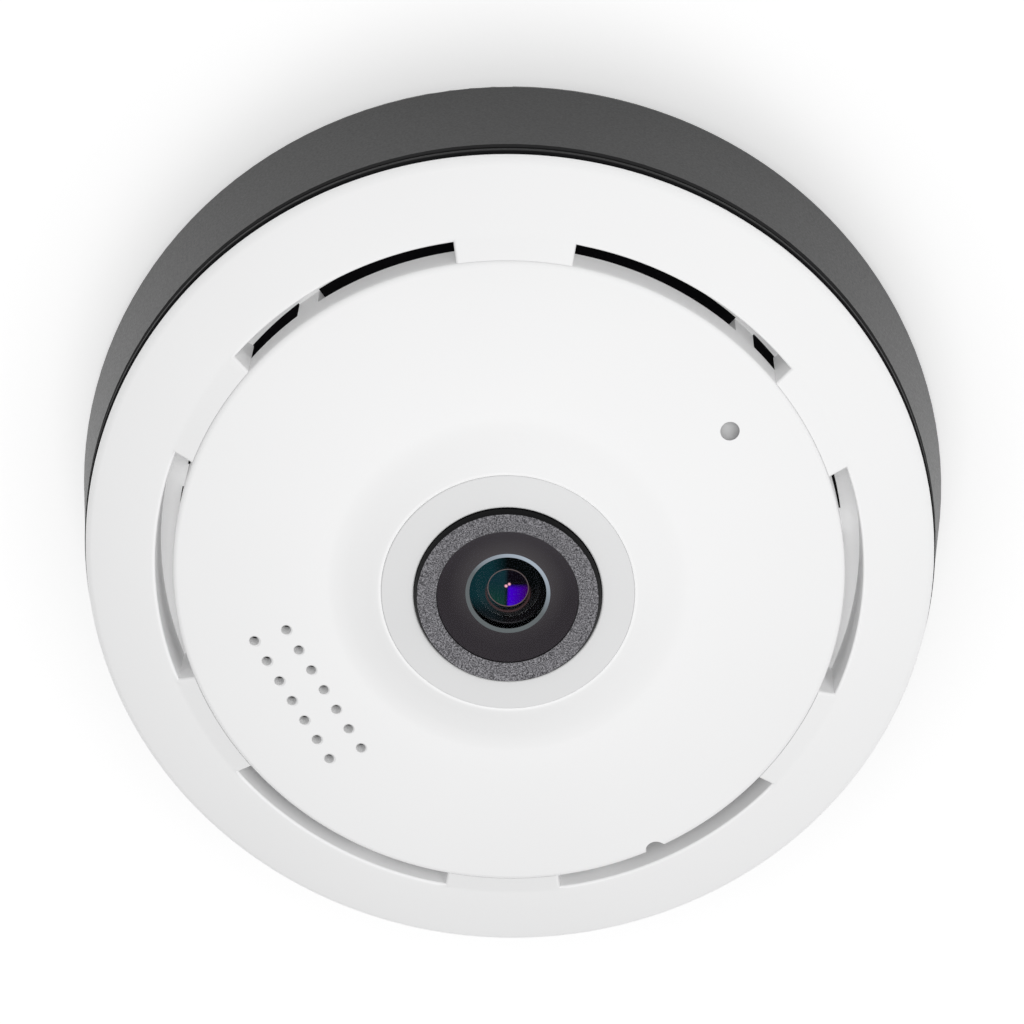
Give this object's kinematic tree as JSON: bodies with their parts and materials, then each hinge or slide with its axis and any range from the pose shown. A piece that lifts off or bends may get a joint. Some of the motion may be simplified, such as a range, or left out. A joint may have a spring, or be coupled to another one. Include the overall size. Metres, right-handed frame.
{
  "type": "ceiling security camera",
  "caption": "Round fisheye ceiling camera with a dark housing, a white vented face, a speaker grille and a twist-lock bracket.",
  "frame": {"origin": "centre of the bracket's back face, which lies on the ceiling or on a table", "axes": "+Z along the lens axis, away from the bracket; -Y towards the power socket; +X to the right when the lens is seen from the front with the socket at the bottom"},
  "size_m": [0.112, 0.112, 0.0367],
  "materials": {
    "dark_body": "fine matte",
    "white_face": "satin gloss",
    "pale_insert": "matte",
    "black_trim": "matte",
    "smoked_window": "smoked",
    "speckled_grey": "sandblasted",
    "bracket_plastic": "matte",
    "lens_glass": "coated and polished",
    "filter_glass": "coated",
    "steel": "zinc plated",
    "black_screw": "black oxide",
    "board_green": "solder mask",
    "chip_black": "moulded",
    "ferrite": "pressed powder",
    "can_silver": "bright",
    "copper_wire": "enamelled",
    "flex_amber": "satin film",
    "foam_black": "soft foam",
    "rubber_black": "moulded",
    "lead_red": "insulation",
    "lead_black": "insulation",
    "header_cream": "moulded",
    "lamp_dark": "dark lens",
    "clear_light": "clear",
    "cone_paper": "pressed film"
  },
  "bodies": {
    "bracket": {"ceiling_bracket": "bracket_plastic"},
    "head": {"rear_housing": "dark_body", "reveal_ring": "black_trim", "rim_cover": "white_face", "face_dome": "white_face", "window_strip": "smoked_window", "lens_bezel_ring": "pale_insert", "lens_trim_ring": "speckled_grey", "front_glass": "lens_glass", "second_lens": "lens_glass", "third_lens": "lens_glass", "rear_lens": "lens_glass", "lens_stop": "black_trim", "lens_spacer": "black_trim", "lens_barrel": "black_trim", "lens_holder": "black_trim", "filter_coil": "copper_wire", "image_sensor": "chip_black", "sensor_board": "board_green", "board_spacers": "steel", "board_link": "header_cream", "main_board": "board_green", "main_processor": "chip_black", "memory_chips": "chip_black", "power_inductors": "ferrite", "capacitors": "can_silver", "lead_headers": "header_cream", "wifi_module": "board_green", "wifi_shield": "can_silver", "antenna_strip": "flex_amber", "antenna_coax": "lead_black", "lamp_board": "board_green", "infrared_lamps": "lamp_dark", "light_sensor": "clear_light", "lamp_lead": "lead_black", "speaker_gasket": "foam_black", "speaker_frame": "steel", "speaker_cone": "cone_paper", "speaker_magnet": "steel", "speaker_lead": "lead_red", "microphone_boot": "rubber_black", "microphone": "can_silver", "microphone_lead": "lead_black", "usb_socket": "steel", "card_socket": "steel", "reset_switch": "chip_black", "status_led": "clear_light", "status_light_pipe": "clear_light", "housing_screws": "black_screw", "board_screws": "steel"},
    "filter_slider": {"filter_slider": "chip_black", "day_filter_glass": "filter_glass", "night_filter_glass": "clear_light"},
    "crank_rotor": {"crank_rotor": "ferrite"},
    "reset_button": {"reset_button": "black_trim", "switch_plunger": "chip_black"}
  },
  "joints": [
    {"name": "head_twist", "type": "hinge", "parent": "bracket", "child": "head", "pos_m": [0, 0, 0], "axis": [0, 0, 1], "range_deg": [0, 16]},
    {"name": "filter_slide", "type": "slide", "parent": "head", "child": "filter_slider", "axis": [1, 0, 0], "range_m": [0, 0.0064]},
    {"name": "crank_swing", "type": "hinge", "parent": "head", "child": "crank_rotor", "pos_m": [0, 0.0102, 0.018], "axis": [0, 0, 1], "range_deg": [0, 79.58]},
    {"name": "button_press", "type": "slide", "parent": "head", "child": "reset_button", "axis": [0.309, 0.9511, 0], "range_m": [0, 0.0004], "stiffness_N_per_m": 500}
  ],
  "couplings": [
    {"joint": "crank_swing", "follows": "filter_slide", "rad_per_m": 217.03}
  ]
}
